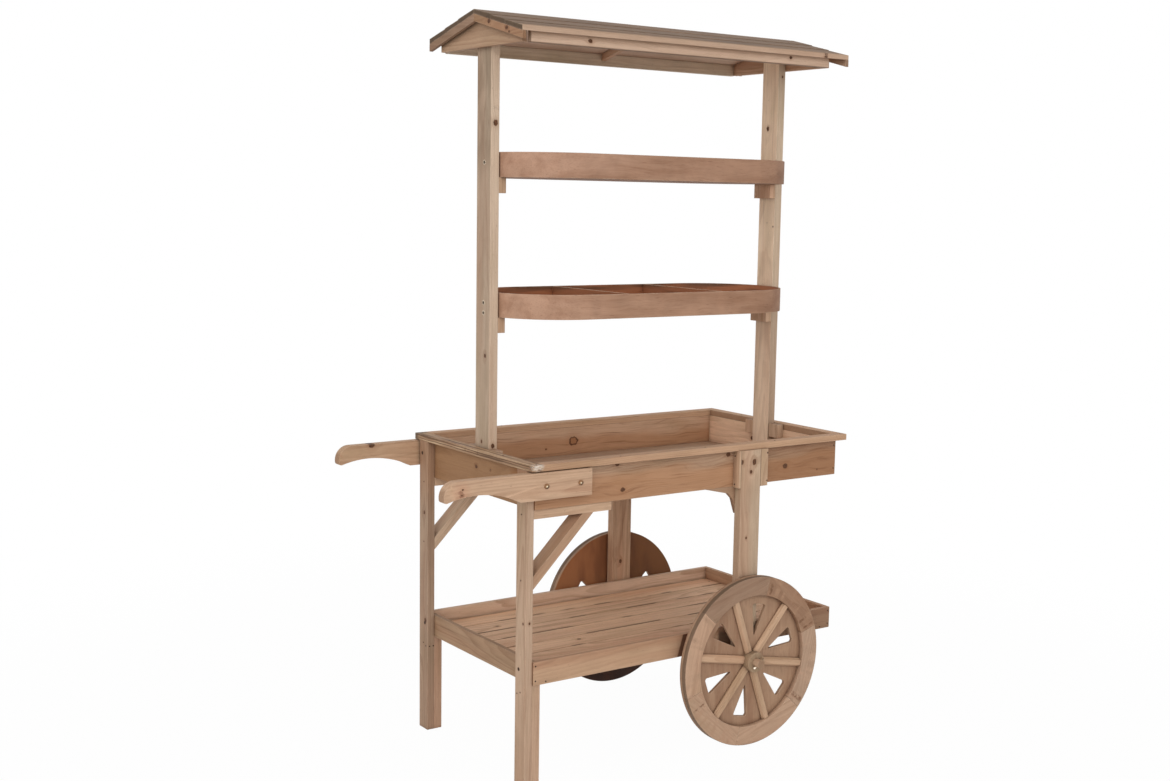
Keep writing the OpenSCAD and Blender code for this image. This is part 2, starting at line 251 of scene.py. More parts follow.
def small_knots(g, place, knotty):
    """The fields of small knots that fall by chance."""
    along, across = g.split(place)[:2]
    cell = g.xyz(g.times(along, CELLS_ALONG), g.times(across, CELLS_ACROSS), 0.0)
    nearest = g.node(
        "ShaderNodeTexVoronoi", {"Vector": cell, "Scale": 1.0, "Randomness": 0.8}, voronoi_dimensions="2D",
    ).outputs
    chance, growth = g.split(nearest["Color"])[:2]
    size = g.plus(SMALL_KNOT, g.times(growth, KNOT_SPREAD))
    reach = g.math("DIVIDE", g.reach(cell, nearest["Position"], (0.25, 0.0625, 0.0)), size)
    reach = g.plus(reach, g.swing(g.noise(place, 170.0, 1.0), 0.7))
    there = g.math("LESS_THAN", chance, knotty)
    return knot_fields(g, there, reach, g.times(size, -1.1), 0.7)


def growth_rings(g, given, place, random, push):
    """Late wood, 0 to 1, in rings round a pith that lies beside the board and leans along it."""
    sway = g.noise(place, (1.3, 7.0, 7.0), 3.0, color=True)
    sway = g.vec("SCALE", g.vec("SUBTRACT", sway, (0.5, 0.5, 0.5)), scale=0.06)
    along, across, through = g.split(g.vec("ADD", given["Vector"], sway))
    side = g.minus(g.times(g.math("GREATER_THAN", random[0], 0.5), 2.0), 1.0)
    across = g.minus(across, g.swing(random[1], 0.09))
    pith = g.times(side, g.plus(PITH, g.times(random[2], 0.03)))
    lean = g.times(along, g.swing(random[2], 0.06))
    through = g.plus(g.minus(through, pith), lean)
    radius = g.math("SQRT", g.plus(g.times(across, across), g.times(through, through)))
    drift = g.times(g.noise(place, (0.5, 12.0, 12.0), 1.0), 2.6)
    years = g.plus(g.math("DIVIDE", g.plus(radius, push), RING_WIDTH), drift)
    season = g.math("FRACT", years)
    late = g.times(g.smooth(season, 0.25, 0.88), g.smooth(season, 1.0, 0.92))
    year = g.node("ShaderNodeTexWhiteNoise", {"W": g.math("FLOOR", years)}, noise_dimensions="1D").outputs[0]
    return g.times(late, g.plus(g.times(year, 0.8), 0.3))


def grain_group():
    """Softwood with the grain along X: growth rings, fibres, stains and knots."""
    group = bpy.data.node_groups.new("fir grain", "ShaderNodeTree")
    group.interface.new_socket("Vector", in_out="INPUT", socket_type="NodeSocketVector")
    for name, start in GRAIN_INPUTS.items():
        group.interface.new_socket(name, in_out="INPUT", socket_type="NodeSocketFloat").default_value = start
    for name, kind in GRAIN_OUTPUTS.items():
        group.interface.new_socket(name, in_out="OUTPUT", socket_type=f"NodeSocket{kind}")
    g = Net(group)
    given = group.nodes.new("NodeGroupInput").outputs
    out = group.nodes.new("NodeGroupOutput").inputs
    contrast = given["Contrast"]
    seeded = g.node("ShaderNodeTexWhiteNoise", {"W": given["Seed"]}, noise_dimensions="1D").outputs["Color"]
    random = g.split(seeded)
    place = g.vec("ADD", given["Vector"], g.vec("SCALE", seeded, scale=37.0))

    push, core, halo = small_knots(g, place, given["Knotty"])
    late = growth_rings(g, given, place, random, g.plus(given["Push"], push))
    core = g.math("MAXIMUM", given["Core"], core)
    halo = g.math("MAXIMUM", given["Halo"], halo)
    knot = g.smooth(core, 0.0, 0.5)

    fibre = g.noise(place, (9.0, 420.0, 420.0), 3.0, 0.6)
    streak = g.noise(place, (2.4, 60.0, 60.0), 3.0, 0.6)
    line = g.noise(place, (3.4, 190.0, 190.0))
    heart = g.noise(place, (1.4, 15.0, 15.0))
    hue = g.noise(place, (4.0, 16.0, 16.0))
    patch = g.noise(place, (16.0, 44.0, 44.0), 3.0, 0.6)
    pore = g.smooth(g.noise(place, (34.0, 900.0, 900.0), 1.0), 0.64, 0.8)
    speck = g.smooth(g.noise(place, (90.0, 210.0, 210.0), 2.0, 0.7), 0.68, 0.76)

    deep = srgb(146, 106, 78)
    color = srgb(205, 172, 144)
    for part, stain in (
        (g.times(late, 0.5, contrast), deep),
        (g.times(g.smooth(heart, 0.46, 0.72), contrast, 0.5), srgb(176, 120, 90)),
        (g.times(g.smooth(hue, 0.5, 0.24), 0.5), srgb(164, 136, 104)),
        (g.times(g.smooth(streak, 0.48, 0.76), contrast, 0.5), deep),
        (g.times(g.smooth(line, 0.62, 0.76), contrast, 0.55), srgb(112, 76, 54)),
        (g.times(g.apart(fibre, 0.5), 0.9), deep),
        (g.times(pore, 0.4), srgb(108, 74, 52)),
        (g.times(speck, 0.5), srgb(96, 68, 48)),
        (g.times(halo, 0.28), srgb(146, 100, 70)),
        (g.times(given["End"], 0.5), srgb(128, 96, 72)),
    ):
        color = g.mix(part, color, stain)
    tone = g.plus(g.times(random[2], 0.16), g.times(patch, 0.24), 0.8)
    g.put(out["Color"], g.tinted(color, g.xyz(tone, tone, tone)))

    mottle = g.smooth(g.noise(place, 380.0), 0.35, 0.65)
    inside = g.mix(mottle, srgb(70, 44, 28), srgb(108, 70, 46))
    g.put(out["Knot"], knot)
    g.put(out["Knot color"], g.mix(g.smooth(core, 0.9, 1.0), inside, srgb(160, 110, 74)))
    g.put(out["Roughness"], g.plus(0.6, g.times(fibre, 0.18)))
    height = g.plus(g.times(late, -0.3), g.times(fibre, 0.8), g.times(pore, -0.6), g.times(knot, -0.6))
    g.put(out["Height"], height)
    return group


GRAIN = grain_group()
# A knot with a radius over this has a pale core, and each is longer along the grain than across it
PALE_KNOT = 0.0095
KNOT_LENGTH = 1.25
# How deep a knot goes, from a broad face and from a narrow one
FACE_DEPTH = 0.03
EDGE_DEPTH = 0.012
# How far the painted shade and dirt reach out of a joint or corner, and how wide a rubbed edge is
JOINT_SHADE_REACH = 0.016
EDGE_REACH = 0.0028


def placed_knots(g, place, axes, knots):
    """The fields of knots in given places, in millimetres with a radius, and "edge" on a narrow face."""
    along, broad, thin = axes
    push = core = halo = None
    for x, y, z, radius, *edge in knots:
        radius /= 1000
        across, through = (thin, broad) if edge else (broad, thin)
        offset = g.vec("SUBTRACT", place, at(x, y, z))
        near = g.apart(g.dot(offset, through))
        near = g.math("LESS_THAN", near, EDGE_DEPTH if edge else FACE_DEPTH)
        ahead = g.math("DIVIDE", g.dot(offset, along), KNOT_LENGTH)
        aside = g.dot(offset, across)
        reach = g.math("SQRT", g.plus(g.times(ahead, ahead), g.times(aside, aside)))
        reach = g.math("DIVIDE", reach, radius)
        reach = g.plus(reach, g.swing(g.noise(place, 160.0, 1.0), 0.6))
        fields = knot_fields(g, near, reach, -0.9 * radius, 1.0 if radius > PALE_KNOT else 0.7)
        push = fields[0] if push is None else g.plus(push, fields[0])
        core = fields[1] if core is None else g.math("MAXIMUM", core, fields[1])
        halo = fields[2] if halo is None else g.math("MAXIMUM", halo, fields[2])
    return push, core, halo


def corner_shade_and_wear(g, color, shade_and_dirt=0.62, wear=0.3):
    """Painted shade and dirt in the joints and corners, from ambient occlusion, and rubbed outer edges."""

    def open_sky(reach, inside):
        made = g.node("ShaderNodeAmbientOcclusion", {"Distance": reach}, samples=6, inside=inside)
        return made.outputs["AO"]

    inner = open_sky(JOINT_SHADE_REACH, False)
    outer = open_sky(EDGE_REACH, True)
    worn = g.smooth(g.noise(g.place(), 26.0, 3.0), 0.35, 0.7)
    color = g.mix(g.times(g.smooth(outer, 0.95, 0.6), worn, wear), color, srgb(206, 182, 158))
    # painted shade: darker where ambient occlusion finds little open sky, in joints and corners
    dim = g.smooth(inner, 0.25, 0.92, shade_and_dirt, 1.0)
    return g.tinted(color, g.xyz(dim, g.math("POWER", dim, 1.12), g.math("POWER", dim, 1.22)))


def grain_axes(g, along, thin, turn):
    """Directions along, across and through the board; turn is "ring" or "spoke" round the wheel's middle."""
    if not turn:
        along = Vector(along).normalized()
        thin = Vector(thin).normalized()
        return along, along.cross(thin), thin
    arm = g.vec("MULTIPLY", g.vec("SUBTRACT", g.centre(), (wheel_x, 0, wheel_z)), (1, 0, 1))
    arm = g.vec("NORMALIZE", arm)
    tangent = g.vec("CROSS_PRODUCT", arm, (0, 1, 0))
    return (tangent, arm, Y) if turn == "ring" else (arm, tangent, Y)


def wood(name, along, thin, seed, tint, contrast, knotty=0.0, knots=(), turn=None, extra=None, shade_and_dirt=0.62):
    """Fir with the grain along one direction."""
    mat, g, shader = new_material(name)
    place = g.place()
    axes = grain_axes(g, along, thin, turn)
    local = g.vec("SUBTRACT", place, g.centre())
    chance = g.node("ShaderNodeAttribute", attribute_name="chance").outputs["Fac"]
    normal = g.node("ShaderNodeTexCoord").outputs["Normal"]
    push, core, halo = placed_knots(g, place, axes, knots)
    grain = g.node("ShaderNodeGroup", node_tree=GRAIN)
    for key, value in {
        "Vector": g.xyz(*(g.dot(local, axis) for axis in axes)),
        "Seed": g.plus(g.times(chance, 61.0), seed),
        "Push": push,
        "Core": core,
        "Halo": halo,
        "Contrast": contrast,
        "Knotty": knotty,
        "End": g.smooth(g.apart(g.dot(normal, axes[0])), 0.75, 0.95),
    }.items():
        g.put(grain.inputs[key], value)
    color = g.tinted(grain.outputs["Color"], tint)
    if extra:
        color = extra(g, place, color)
    color = g.mix(grain.outputs["Knot"], color, grain.outputs["Knot color"])
    bump = g.node("ShaderNodeBump", {"Strength": 0.4, "Distance": 0.0008, "Height": grain.outputs["Height"]})
    g.put(shader["Base Color"], corner_shade_and_wear(g, color, shade_and_dirt))
    g.put(shader["Roughness"], grain.outputs["Roughness"])
    g.put(shader["Normal"], bump.outputs[0])
    g.put(shader["Specular IOR Level"], 0.3)
    return mat


# ---------------------------------------------------------------- plywood and metal


def ply(name, along, base, streaks, tint, extra=None, shade_and_dirt=0.62):
    """Thin rotary-cut panel with a broad veneer figure along x or z."""
    mat, g, shader = new_material(name)

    def stretch(low, high):
        return tuple(low if axis == along else high for axis in "xyz")

    place = g.place()
    sway = g.vec("SUBTRACT", g.noise(place, 5.0, color=True), (0.5, 0.5, 0.5))
    swayed = g.vec("ADD", place, g.vec("SCALE", sway, scale=0.03))
    broad = g.smooth(g.noise(swayed, stretch(3.0, 34.0), 3.0, 0.55), 0.38, 0.72)
    fine = g.noise(swayed, stretch(14.0, 430.0), 3.0, 0.6)
    dash = g.smooth(g.noise(swayed, stretch(26.0, 240.0), 1.0), 0.66, 0.78)
    color = g.mix(g.times(broad, 0.6), base, streaks)
    color = g.mix(g.times(g.smooth(fine, 0.45, 0.75), 0.45), color, streaks)
    color = g.mix(g.times(dash, 0.32), color, srgb(104, 66, 46))
    dim = g.plus(0.84, g.times(g.noise(swayed, 30.0, 3.0, 0.6), 0.32))
    color = g.tinted(g.tinted(color, g.xyz(dim, dim, dim)), tint)
    if extra:
        color = extra(g, place, color)
    bump = g.node("ShaderNodeBump", {"Strength": 0.3, "Distance": 0.0006, "Height": fine})
    g.put(shader["Base Color"], corner_shade_and_wear(g, color, shade_and_dirt, wear=0.5))
    g.put(shader["Normal"], bump.outputs[0])
    g.put(shader["Roughness"], 0.66)
    g.put(shader["Specular IOR Level"], 0.3)
    return mat


def metal(name, color, rough=0.45, extra=None):
    """Dull steel, rusty in spots."""
    mat, g, shader = new_material(name)
    place = g.place()
    if extra:
        color = extra(g, place, color)
    spots = g.smooth(g.noise(place, 420.0, 3.0), 0.45, 0.75)
    g.put(shader["Base Color"], g.mix(spots, color, srgb(92, 66, 48)))
    g.put(shader["Metallic"], 0.35)
    g.put(shader["Roughness"], rough)
    return mat


# ---------------------------------------------------------------- dressing the CAD nodes


def piece_group():
    """Joins each solid's faces and stores its middle and a number of its own for the materials."""
    group = bpy.data.node_groups.new("piece numbers", "GeometryNodeTree")
    group.interface.new_socket("Geometry", in_out="INPUT", socket_type="NodeSocketGeometry")
    group.interface.new_socket("Geometry", in_out="OUTPUT", socket_type="NodeSocketGeometry")
    g = Net(group)
    given = group.nodes.new("NodeGroupInput").outputs
    out = group.nodes.new("NodeGroupOutput").inputs

    def total(kind, value):
        made = g.node("GeometryNodeAccumulateField", data_type=kind, domain="POINT")
        g.put(made.inputs["Value"], value)
        g.put(made.inputs["Group ID"], island)
        return made.outputs["Total"]

    def store(geometry, kind, name, value):
        made = g.node("GeometryNodeStoreNamedAttribute", data_type=kind, domain="POINT")
        g.put(made.inputs["Geometry"], geometry)
        g.put(made.inputs["Name"], name)
        g.put(made.inputs["Value"], value)
        return made.outputs[0]

    joined = g.node("GeometryNodeMergeByDistance", {"Geometry": given[0], "Distance": 0.00002}).outputs[0]
    island = g.node("GeometryNodeInputMeshIsland").outputs["Island Index"]
    place = g.node("GeometryNodeInputPosition").outputs[0]
    share = g.math("DIVIDE", 1.0, total("FLOAT", 1.0))
    middle = g.vec("SCALE", total("FLOAT_VECTOR", place), scale=share)
    chance = g.node("FunctionNodeRandomValue", data_type="FLOAT")
    g.put(chance.inputs["ID"], island)
    g.put(chance.inputs["Seed"], 3)
    marked = store(joined, "FLOAT_VECTOR", "centre", middle)
    g.put(out[0], store(marked, "FLOAT", "chance", chance.outputs[1]))
    return group


PIECE = piece_group()
BEVEL = 0.001
THIN_BEVEL = 0.0006


def dress(node, mat, bevel=BEVEL):
    """Gives a node its material, its pieces' numbers and softened edges."""
    obj = nodes[node]
    for slot in obj.material_slots:
        slot.material = mat
    obj.modifiers.new("piece", "NODES").node_group = PIECE
    cut = obj.modifiers.new("edges", "BEVEL")
    cut.width = bevel
    cut.segments = 2
    cut.limit_method = "ANGLE"
    cut.angle_limit = math.radians(40)
    cut.harden_normals = False


# ---------------------------------------------------------------- marks on single nodes
# Each takes a net, the place and the colour so far, and gives the marked colour.


def all_of(*marks):
    """Several marks, one after the other."""
    def extra(g, place, color):
        for mark in marks:
            color = mark(g, place, color)
        return color
    return extra


def in_front(mark):
    """Keeps a mark to the faces that look to the front."""
    def extra(g, place, color):
        ahead = g.smooth(g.split(g.facing())[1], -0.4, -0.6)
        return g.mix(ahead, color, mark(g, place, color))
    return extra


def shade(axis, start, stop, tint):
    """A board, or a stretch of one, tinted apart from the rest of its node; MARKS uses it for tones of the
    wood and for painted light and shade.
    """
    def extra(g, place, color):
        part = g.smooth(g.split(place)["xyz".index(axis)], start, stop)
        return g.tinted(color, tint, part)
    return extra


def worn_rim(g, place, color):
    """Weathering on the left strip, cracks along its edge, and chipped white grain at the front corner."""
    x, y, z = g.split(place)
    left = g.smooth(x, mid_x - 0.464, mid_x - 0.468)
    grey = g.noise(place, (60.0, 7.0, 60.0), 3.0)
    streak = g.noise(place, (90.0, 3.0, 200.0), 3.0, 0.7)
    for part, stain in (
        (g.smooth(grey, 0.3, 0.7, 0.2, 0.7), srgb(142, 114, 84)),
        (g.smooth(streak, 0.50, 0.60, 0.0, 0.8), srgb(88, 62, 42)),
        (g.smooth(y, 0.262, 0.276, 0.0, 0.7), srgb(84, 72, 60)),
        (g.smooth(streak, 0.46, 0.36, 0.0, 0.8), srgb(214, 186, 152)),
    ):
        color = g.mix(g.times(left, part), color, stain)
    wave = g.times(g.noise(place, (1.0, 14.0, 1.0)), 0.006)
    for height in (0.7700, 0.7755):
        crack = g.smooth(g.apart(z, g.plus(height, wave)), 0.0012, 0.0004)
        crack = g.times(crack, g.smooth(x, mid_x - 0.490, mid_x - 0.495))
        color = g.mix(g.times(crack, 0.8), color, srgb(76, 54, 40))
    corner = g.reach(place, at(-482, -284, 781), (0.7, 1.0, 1.0))
    chip = g.smooth(g.noise(place, (60.0, 260.0, 480.0)), 0.44, 0.52)
    chip = g.times(chip, g.smooth(corner, 0.016, 0.007), 0.75)
    return g.mix(chip, color, srgb(232, 222, 210))


def rafter_tones(g, place, color):
    """Redder in front at the left end, greyer behind, and pale in the middle of the roof as painted light."""
    x, y = g.split(place)[:2]
    right = g.smooth(x, mid_x - 0.1, mid_x + 0.1)
    front = g.mix(right, (0.86, 0.73, 0.61, 1), (0.95, 0.93, 0.92, 1))
    tint = g.mix(g.smooth(y, 0.004, -0.004), (0.69, 0.64, 0.62, 1), front)
    # painted light: the rafters in the middle of the roof, in the roof's shade, are made paler
    middle = g.smooth(g.apart(x, mid_x), 0.3, 0.2)
    return g.tinted(color, g.mix(middle, tint, (1.4, 1.35, 1.3, 1)))


def purlin_tones(g, place, color):
    """The front purlin has a dark line along its lower edge; the back one is paler."""
    y, z = g.split(place)[1:]
    edge = g.times(g.smooth(z, purlin_lo + 0.003, purlin_lo + 0.001), 0.7)
    front = g.mix(edge, color, srgb(96, 68, 50))
    return g.mix(g.smooth(y, 0.0, 0.1), front, g.tinted(color, (1.12, 1.28, 1.32)))


def heartwood_and_low_shade(g, place, color):
    """Wavy orange and brown heartwood in the lower part of the tray boards; on the back board the darker
    lower part is partly painted shade inside the tray.
    """
    x, y, z = g.split(place)
    level = g.plus(z, g.swing(g.noise(place, (3.5, 3.5, 10.0)), 0.09))
    # heartwood, and partly painted shade, in the lower part
    color = g.mix(g.smooth(level, 0.748, 0.722, 0.0, 0.6), color, srgb(172, 120, 80))
    blot = g.noise(place, (6.0, 6.0, 30.0))
    color = g.mix(g.smooth(blot, 0.5, 0.75, 0.0, 0.4), color, srgb(196, 152, 118))
    line = g.noise(g.xyz(x, y, level), (7.0, 7.0, 240.0), 3.0, 0.6)
    return g.mix(g.smooth(line, 0.52, 0.72, 0.0, 0.5), color, srgb(122, 80, 52))


def weathered(g, place, color):
    """Roof boards that are dark and grey on top, cleaner along the eaves, and cleaner and much paler
    underneath, partly as painted light.
    """
    height = g.split(place)[2]
    aside, ahead, upward = g.split(g.facing())
    end = g.smooth(g.apart(aside), 0.5, 0.8)
    long_side = g.minus(1.0, end)
    cloud = g.noise(place, (5.0, 40.0, 40.0), 3.0)
    top = g.tinted(color, (0.66, 0.61, 0.56))
    top = g.mix(g.smooth(cloud, 0.3, 0.75, 0.5, 0.8), top, srgb(90, 72, 56))
    top = g.tinted(top, (0.70, 0.70, 0.66), end)
    margin = g.times(long_side, g.smooth(height, eave_lo + 0.017, eave_lo + 0.015))
    top = g.mix(margin, top, g.tinted(color, (0.7, 0.68, 0.66)))
    # painted light: the faces that look down are made much paler
    lit_underside = g.tinted(color, (1.36, 1.46, 1.64))
    board = g.mix(g.smooth(upward, -0.3, -0.1), lit_underside, top)
    lip = g.times(long_side, g.smooth(height, eave_lo + 0.014, eave_lo + 0.012))
    lip = g.times(lip, g.smooth(g.apart(ahead), 0.55, 0.7))
    return g.mix(lip, board, g.tinted(color, (1.0, 1.02, 1.06)))


def slat_gaps(g, place, color):
    """Dark broken lines along the edges of the slats."""
    share = g.math("FRACT", g.plus(g.math("DIVIDE", g.split(place)[1], slat_step), 0.5))
    edge = g.math("MINIMUM", share, g.minus(1.0, share))
    dash = g.smooth(g.noise(place, (9.0, 14.0, 0.0), 1.0), 0.48, 0.56)
    return g.mix(g.times(g.smooth(edge, 0.075, 0.045), dash, 0.7), color, srgb(88, 60, 40))


def bruise(g, place, color):
    """A pink and brown patch round the knots near the handle's tip."""
    reach = g.reach(place, at(-685, -stick_out, 736), (1.0, 1.0, 0.8))
    reach = g.plus(reach, g.swing(g.noise(place, 110.0), 0.02))
    color = g.mix(g.smooth(reach, 0.030, 0.008, 0.0, 0.4), color, srgb(190, 140, 112))
    return g.mix(g.smooth(reach, 0.009, 0.004, 0.0, 0.6), color, srgb(128, 82, 58))


def painted_wheel_shadow(g, place, color):
    """Painted shadow on what lies close behind the wheel, and a painted shadow stripe that leans like the
    spoke before it.
    """
    x, z = g.split(place)[::2]
    part = g.times(g.smooth(z, 0.312, 0.288), g.smooth(x, mid_x + 0.082, mid_x + 0.092))
    part = g.times(part, g.smooth(x, mid_x + 0.32, mid_x + 0.29), 0.8)
    # painted shadow: dark brown low down behind the wheel
    color = g.mix(part, color, srgb(66, 42, 26))
    shadow_stripe = g.apart(x, g.plus(mid_x - 0.116, g.times(z, 0.307)))
    return g.mix(g.smooth(shadow_stripe, 0.009, 0.005, 0.0, 0.85), color, srgb(84, 50, 30))


def post_faces(g, place, color):
    """The left post is pink in front and painted lighter there as painted light; its other faces have grey
    patches near the top.
    """
    y, z = g.split(place)[1:]
    cloud = g.smooth(g.noise(place, (30.0, 30.0, 9.0), 3.0), 0.3, 0.6)
    grey = g.tinted(color, (0.68, 0.66, 0.62), g.times(g.smooth(z, 1.40, 1.54), cloud))
    # painted light: the front face is lighter than the other faces
    front = g.smooth(y, post_front + 0.0008, post_front + 0.0002)
    return g.mix(front, grey, g.tinted(color, (1.32, 1.35, 1.38)))


def shaded_divider_sides(g, place, color):
    """Dividers with dark red side faces, darkened as painted shade, and clean top edges."""
    side = g.smooth(g.apart(g.split(g.facing())[0]), 0.5, 0.8)
    figure = g.smooth(g.noise(place, (5.0, 5.0, 60.0)), 0.35, 0.65)
    return g.mix(side, color, g.mix(figure, srgb(156, 100, 68), srgb(112, 74, 50)))


def left_end_shade_and_stain(g, place, color):
    """The left end board is darker and browner than the right one as painted shade, with an orange stain near
    the front.
    """
    reach = g.reach(place, at(tray_x, -205, 752), (0.0, 0.6, 1.6))
    reach = g.plus(reach, g.swing(g.noise(place, 60.0, 3.0), 0.03))
    # painted shade on the left end board
    dark = g.tinted(color, (0.40, 0.32, 0.23))
    dark = g.mix(g.smooth(reach, 0.038, 0.016, 0.0, 0.5), dark, srgb(146, 92, 46))
    return g.mix(g.smooth(g.split(place)[0], mid_x + 0.1, mid_x - 0.1), color, dark)


# Ring segments by the angle of their middle, with their tints
SEGMENTS = (
    (58, (0.76, 0.69, 0.63)), (118, (0.73, 0.70, 0.68)), (178, (1.06, 1.04, 1.03)), (-2, (1.0, 1.02, 1.04)),
)
# Cosines of a little more and a little less than half a segment
SEGMENT_OUTSIDE = 0.859
SEGMENT_INSIDE = 0.873
# Smears at the seams of the ring: angle, inner and outer radius, half the width
SMEARS = (
    (84, 0.176, 0.206, 0.006), (38, 0.175, 0.200, 0.005), (31, 0.180, 0.214, 0.004),
    (333, 0.176, 0.216, 0.009), (219, 0.180, 0.216, 0.004),
)


def wheel_marks(turn):
    """Ring segments of different tones, smears at some of their seams, and a darker tread."""
    def extra(g, place, color):
        arm = g.vec("MULTIPLY", g.vec("SUBTRACT", place, (wheel_x, 0, wheel_z)), (1, 0, 1))
        for middle, tint in SEGMENTS:
            angle = math.radians(middle + turn)
            part = g.dot(g.vec("NORMALIZE", arm), (math.cos(angle), 0, math.sin(angle)))
            color = g.tinted(color, tint, g.smooth(part, SEGMENT_OUTSIDE, SEGMENT_INSIDE))
        fray = g.smooth(g.noise(place, 130.0, 3.0, 0.6), 0.3, 0.6)
        for degrees, inner, outer, half in SMEARS:
            angle = math.radians(degrees + turn)
            out = g.dot(arm, (math.cos(angle), 0, math.sin(angle)))
            aside = g.apart(g.dot(arm, (math.sin(angle), 0, -math.cos(angle))))
            part = g.smooth(out, inner - 0.004, inner + 0.004)
            part = g.times(part, g.smooth(out, outer + 0.006, outer - 0.006))
            part = g.times(part, g.smooth(aside, half, half * 0.3), fray, 0.8)
            color = g.mix(part, color, srgb(104, 68, 44))
        tread = g.smooth(g.length(arm), wheel_z - 0.0008, wheel_z - 0.0003, 0.0, 0.8)
        return g.mix(tread, color, srgb(104, 84, 66))
    return extra


def shaded_band_inside(g, place, color):
    """The bands are redder, and darker with painted shade, on the side that looks into the shelf, and paler
    at the left end.
    """
    out = g.vec("NORMALIZE", g.vec("MULTIPLY", g.vec("SUBTRACT", place, (mid_x, 0, 0)), (1, 1, 0)))
    inner = g.smooth(g.dot(out, g.facing()), -0.02, -0.06)
    figure = g.smooth(g.noise(place, (5.0, 5.0, 60.0)), 0.35, 0.65)
    across = g.plus(g.split(place)[0], g.swing(g.noise(place, (7.0, 7.0, 14.0)), 0.5))
    color = g.tinted(color, (1.16, 1.2, 1.26), g.smooth(across, mid_x - 0.1, mid_x - 0.35))
    color = g.tinted(color, (0.88, 0.86, 0.84), g.smooth(across, mid_x + 0.1, mid_x + 0.35))
    # painted shade on the side that looks into the shelf
    return g.mix(inner, color, g.mix(figure, srgb(166, 106, 72), srgb(108, 72, 50)))


def red_inside_and_shade(g, place, color):
    """The disc's inner face is a darker, redder veneer than the outer one; painted shade darkens it to the
    right and nearly to black towards the bottom.
    """
    x, y, z = g.split(place)
    inner = g.smooth(g.apart(y), disc_inner + 0.0006, disc_inner + 0.0002)
    # painted shade: darker to the right, and nearly black towards the bottom
    red = g.mix(g.smooth(x, wheel_x - 0.08, wheel_x + 0.06), srgb(162, 106, 68), srgb(122, 80, 48))
    red = g.mix(g.smooth(z, 0.16, 0.09), red, srgb(50, 26, 14))
    figure = g.smooth(g.noise(place, (22.0, 1.0, 6.0), 3.0), 0.4, 0.7, 0.0, 0.5)
    return g.mix(inner, color, g.mix(figure, red, srgb(92, 56, 38)))


def bolt_glint_and_shade(g, place, color):
    """Bolt heads with a painted highlight in the middle and painted shade, in a rust brown, on their lower
    side.
    """
    offset = g.vec("MULTIPLY", g.vec("SUBTRACT", place, g.centre()), (1, 0, 1))
    reach = g.plus(g.length(offset), g.swing(g.noise(place, 300.0, 1.0), 0.004))
    # painted shade on the lower side of each head
    low = g.smooth(g.dot(offset, (0.7, 0, -0.7)), 0.0002, 0.0022, 0.0, 0.85)
    color = g.mix(low, color, srgb(70, 44, 28))
    # painted highlight in the middle of each head
    return g.mix(g.smooth(reach, 0.0028, 0.0012), color, srgb(250, 230, 196))


def pin_highlight(g, place, color):
    """Axle pins with a painted highlight at their lower end."""
    low = g.smooth(g.split(place)[2], wheel_z - 0.006, wheel_z - 0.009)
    return g.mix(low, color, srgb(252, 240, 220))


# ---------------------------------------------------------------- finishes on the CAD nodes

# Knots: place and radius in millimetres, and "edge" for one on a narrow face
KNOTS = {
    "tray_front_board": (
        (-243, -board_out, 764, 6.5), (-225, -board_out, 698, 6.0), (103, -board_out, 757, 6.0),
        (297, -board_out, 711, 7.0), (410, -board_out, 692, 2.0),
    ),
    "tray_back_board": ((-20, board_in, 728, 12.0), (-110, board_in, 712, 2.5)),
    "tray_end_boards": ((tray_x, 6, 735, 5.0), (tray_inner_x, 60, 726, 6.0)),
    "front_right_leg": (
        (129, -stick_out, 738, 5.5), (170, -stick_out, 736, 6.8), (160, -stick_out, 711, 4.5),
        (150, -stick_out, 540, 3.0),
    ),
    "back_right_leg": ((157, stick_in, 363, 5.0),),
    "front_handle": ((-682, -stick_out, 746, 2.4), (-684, -stick_out, 733, 1.6)),
    "back_handle": ((-630, stick_in, 763, 7.5),),
    "roof_purlins": ((-295, purlin_y, 1758, 5.0), (330, purlin_y, 1762, 4.0)),
    "roof_rafters": ((rafter_x, -70, 1799, 5.5), (rafter_x, -149, 1778, 5.0), (rafter_x, -160, 1768, 3.0)),
    "front_left_leg": ((leg_x, -250, 401, 3.0), (-484, -leg_out, 403, 2.8, "edge")),
    "back_left_leg": ((leg_x, 229, 294, 5.5), (leg_x, 236, 580, 4.5)),
    "left_post": (
        (left_post_x, 2, 797, 4.0), (-451, post_y, 789, 5.0, "edge"), (left_post_x, -12, 1010, 4.5),
        (-450, post_y, 1569, 6.5, "edge"),
    ),
    "right_post": ((right_post_x, 6, 1592, 5.0), (453, post_y, 1730, 3.0, "edge")),
    "shelf_slats": ((-212, -70, slat_top, 5.0), (-330, 140, slat_top, 4.0), (40, -190, slat_top, 4.0)),
}

# Share of the cells that have a small knot: on most nodes, and on the ones with a share of their own
KNOTTY = 0.08
OWN_KNOTTY = {
    "shelf_slats": 0.14, "knee_plates": 0.0, "axle": 0.0, "axle_washers": 0.0, "side_rails": 0.0,
    "shelf_back_board": 0.0,
}

# Seeds of the grain: the step from node to node, and the first ring's and the first spokes' own
SEED_STEP = 1.9
RING_SEED = 80
SPOKE_SEED = 90
